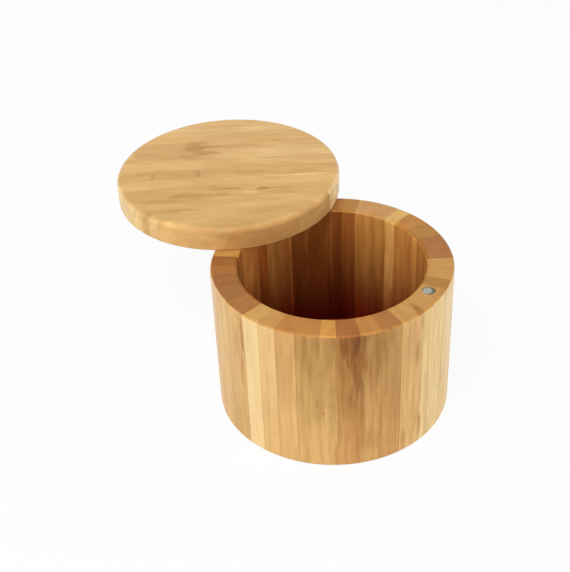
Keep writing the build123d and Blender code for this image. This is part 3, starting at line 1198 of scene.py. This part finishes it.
edge_marks = {
    5: [((40.5, -14.1, 8.5), (3, 4, 3), -0.35)],
    9: [((-41.6, 15.2, 4), (4, 4, 4), -0.25)],
    10: [((-34.9, 27.3, 6), (4, 4, 3.5), -0.2), ((33.9, 28.5, 3), (4, 4, 4), -0.2)],
    11: [((31.4, 31.2, 4), (2.2, 1.8, 8), 0.5), ((-34.9, 27.3, 6), (4, 4, 3.5), -0.2),
         ((33.9, 28.5, 3), (4, 4, 4), -0.2)],
    # Strip 12: the pale mark at (20, 38.5, 9.0) is a painted highlight on the rounded top edge.
    12: [((-3.5, 43.2, 9), (8, 2.5, 2.5), 0.22), ((10.7, 43, 2), (6, 3, 4), 0.2),
         ((20, 38.5, 9.0), (9, 2.0, 1.6), -0.1), ((23.5, 37.6, 4), (4, 4, 9), -0.22)],
}
print("strips with marks:", len(face_marks), "on the face and", len(edge_marks), "on the edge")

# %% [markdown]
# Each strip is given the lid's centre and the turn of its board, so that the fibres run on from strip to
# strip and swing along when the lid is opened.

# %% Finish the lid
lid_streakiness, lid_joint = 0.27, 0.08
face_mark_depth = 3

for number, piece in enumerate(lid_strips, 1):
    near, far = lid_edges[number - 1 : number + 1]
    marks = on_flat(face_marks.get(number, []), lid_thickness, face_mark_depth) + edge_marks.get(number, [])
    cover(piece, strip_finish("bamboo_lid", number, lid_centre, lid_board_turn, near, far, lid_looks[number],
                              lid_streakiness, lid_joint, lid_radius, marks))
print("finished", len(lid_strips), "lid strips")

# %% [markdown]
# The base gets the same finish with less care: one tone for each strip, livelier fibres, and darker joints,
# as on a board that wasn't picked for its looks.

# %% Finish the base
base_tones = ["tan", "wheat", "tan", "honey", "tan"]
base_streakiness, base_joint = 0.4, 0.4

for number, piece in enumerate(base_strips, 1):
    near, far = base_edges[number - 1 : number + 1]
    looks = [base_tones[number - 1]] * 4
    cover(piece, strip_finish("bamboo_base", number, Vector((0, 0, 0)), 0.0, near, far, looks,
                              base_streakiness, base_joint, base_radius, floor_level=base_thickness))
print("finished", len(base_strips), "base strips")

# %% [markdown]
# ## Steel and nickel
#
# The pin is ground steel and the magnets are nickel plated. Metal takes its look from what it reflects, so
# the colour is nearly plain. Fine scratches in the roughness keep it from looking like a mirror. Round the
# edge the colour is painted darker, a painted shade and reflection of the dark hole round the metal, and what
# is left in the middle reads as one bright spot, a painted highlight.

# %% Build the finish of a metal
worn_share, edge_shade_share = 0.8, 0.35
edge_shade_starts, edge_shade_full = 0.72, 0.97
scratch_detail, scratch_roughness, wear_starts = 4.0, 0.7, 0.35


def metal_finish(name, colour, centre, smooth, rough, fineness, radius, highlight_offset=(0, 0, 0)):
    """A metal whose shine changes from smooth to rough over fine scratches, and whose colour is painted
    darker round its edge as painted shade. The highlight offset is how far the painted bright part lies from
    the middle, in millimetres."""
    material, tree, metal = start_material(name)
    place = own_place(tree, centre)
    scratches = stretched_noise(tree, place, fineness, scratch_detail, scratch_roughness)
    worn = (*[worn_share * part for part in colour], 1)
    edge_shade = (*[edge_shade_share * part for part in colour], 1)
    face = mix_colours(tree, fade(tree, scratches, wear_starts, noise_high), (*colour, 1), worn)
    flat = calculate_vector(tree, "MULTIPLY", place, (1, 1, 0))
    flat = calculate_vector(tree, "SUBTRACT", flat, highlight_offset)
    reach = add_node(tree, "VectorMath", {0: flat}, operation="LENGTH").outputs["Value"]
    # Painted shade round the edge, leaving a painted highlight in the middle.
    edge = fade(tree, reach, edge_shade_starts * radius, edge_shade_full * radius)
    tree.links.new(mix_colours(tree, edge, face, edge_shade), metal.inputs["Base Color"])
    tree.links.new(fade(tree, scratches, noise_low, noise_high, smooth, rough), metal.inputs["Roughness"])
    metal.inputs["Metallic"].default_value = 1.0
    return material


print("finish for metals ready")

# %% [markdown]
# A pin is ground round its length, so its scratches are close together along the axis. A magnet's plating has
# fine, faint ones. The rim magnet's painted highlight is set off to one side, where the light catches it.

# %% Finish the pin and the magnets
ground = {"smooth": 0.25, "rough": 0.45, "fineness": (1.0, 1.0, 9.0), "radius": pin_radius}
plated = {"smooth": 0.18, "rough": 0.32, "fineness": (5.0, 1.2, 1.2), "radius": magnet_radius}
steel_grey, warm_nickel, cool_nickel = (0.60, 0.60, 0.60), (0.42, 0.42, 0.38), (0.42, 0.44, 0.43)
# Where the rim magnet's painted highlight lies.
highlight_to_one_side = (0.05, 0.9, 0)

steel = metal_finish("ground_steel", steel_grey, pin_place, **ground)
rim_nickel = metal_finish("rim_nickel", warm_nickel, magnet_place, highlight_offset=highlight_to_one_side, **plated)
lid_nickel = metal_finish("lid_nickel", cool_nickel, lid_magnet_place, **plated)
for piece, material in ((pin, steel), (rim_magnet, rim_nickel), (lid_magnet, lid_nickel)):
    cover(piece, material)
print("metals:", steel.name, rim_nickel.name, lid_nickel.name)
